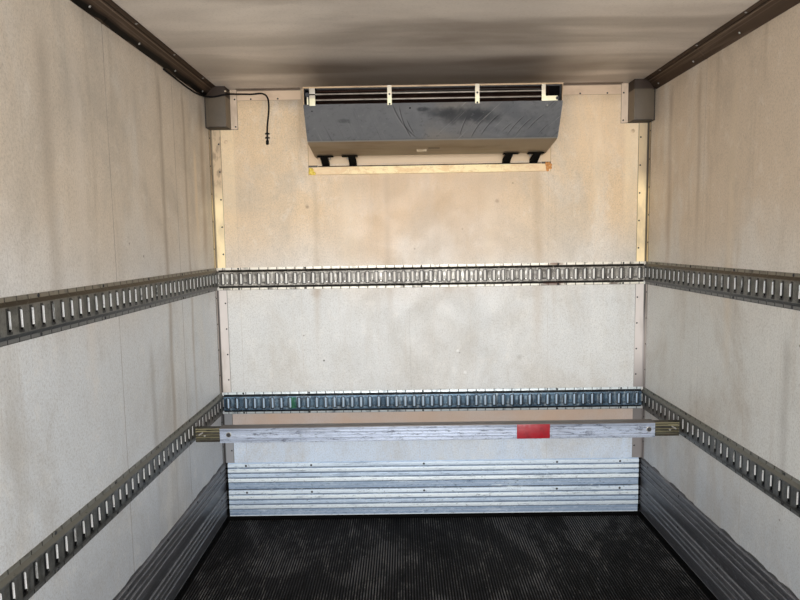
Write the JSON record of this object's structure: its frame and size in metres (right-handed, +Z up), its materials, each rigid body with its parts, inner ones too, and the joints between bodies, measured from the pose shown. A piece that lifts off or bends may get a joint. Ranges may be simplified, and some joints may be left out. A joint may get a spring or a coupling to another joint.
{
  "type": "refrigerated truck body",
  "caption": "Insulated cargo box of a refrigerated truck, with nose unit, evaporator, rear swing doors, slotted wall tracks, scuff plates and a load beam.",
  "frame": {"origin": "below the middle of the whole body, on the plane that the long sills stand on", "axes": "+X is the vehicle's right, +Y is forward to the nose unit, +Z is up"},
  "size_m": [2.872, 5.374, 2.848],
  "materials": {
    "sill_steel": "satin black paint",
    "panel_underside": "dull glass-fibre sheet",
    "deck": "dirty dark ribbed deck",
    "liner": "aged white glass-fibre liner",
    "white_skin": "gloss white",
    "ceiling": "aged white glass-fibre liner",
    "bare_aluminium": "worn mill finish",
    "stainless": "brushed",
    "rubber": "matt",
    "cove": "dull grey-brown",
    "trim": "aged cream white",
    "evap_sheet": "dull grey sheet with smears",
    "coil": "dark finned coil",
    "black_steel": "satin black",
    "cable": "matt black",
    "galvanised": "galvanised, worn",
    "zinc_steel": "yellow zinc",
    "amber_lens": "gloss",
    "red_lens": "gloss",
    "black_plastic": "matt"
  },
  "bodies": {
    "box": {"sills": "sill_steel", "crossmembers": "sill_steel", "floor_panel": "panel_underside", "floor_deck": "deck", "wall_left": "liner", "wall_right": "liner", "wall_front": "liner", "corner_posts": "white_skin", "roof_panel": "ceiling", "roof_rail": "bare_aluminium", "bottom_rail": "bare_aluminium", "rear_frame": "stainless", "dock_bumpers": "rubber", "hinge_brackets": "stainless", "keepers": "stainless", "track_front_upper": "galvanised", "track_left_upper": "galvanised", "track_right_upper": "galvanised", "track_front_lower": "galvanised", "track_left_lower": "galvanised", "track_right_lower": "galvanised", "scuff_front": "bare_aluminium", "scuff_left": "bare_aluminium", "scuff_right": "bare_aluminium", "coves": "cove", "corner_boxes": "cove", "corner_trims": "trim", "header_strips": "trim", "evap_cover": "evap_sheet", "evap_core": "coil", "outlet_bars": "trim", "evap_flange": "trim", "evap_brackets": "black_steel", "sensor_lead": "cable", "sensor_clips": "cable", "load_beam": "bare_aluminium", "unit_housing": "white_skin", "unit_guard": "black_steel", "unit_louvres": "black_steel", "lamps_amber": "amber_lens", "lamps_red": "red_lens"},
    "door_left": {"door_left": "white_skin", "door_seal_left": "rubber", "hinge_straps_left": "stainless", "lock_rod_left": "zinc_steel"},
    "door_right": {"door_right": "white_skin", "door_seal_right": "rubber", "hinge_straps_right": "stainless", "lock_rod_right": "zinc_steel"},
    "unit_fan": {"unit_fan": "black_plastic"},
    "beam_end_left": {"beam_end_left": "zinc_steel"},
    "beam_end_right": {"beam_end_right": "zinc_steel"}
  },
  "joints": [
    {"name": "door_left_swing", "type": "hinge", "parent": "box", "child": "door_left", "pos_m": [-1.295, -2.675, 1.558], "axis": [0, 0, -1], "range_deg": [-270, 0]},
    {"name": "door_right_swing", "type": "hinge", "parent": "box", "child": "door_right", "pos_m": [1.295, -2.675, 1.558], "axis": [0, 0, 1], "range_deg": [-270, 0]},
    {"name": "unit_fan_spin", "type": "hinge", "parent": "box", "child": "unit_fan", "pos_m": [0.56, 2.627, 2.473], "axis": [0, 1, 0], "continuous": true},
    {"name": "beam_end_left_slide", "type": "slide", "parent": "box", "child": "beam_end_left", "axis": [1, 0, 0], "range_m": [0, 0.03]},
    {"name": "beam_end_right_slide", "type": "slide", "parent": "box", "child": "beam_end_right", "axis": [-1, 0, 0], "range_m": [0, 0.03]}
  ]
}
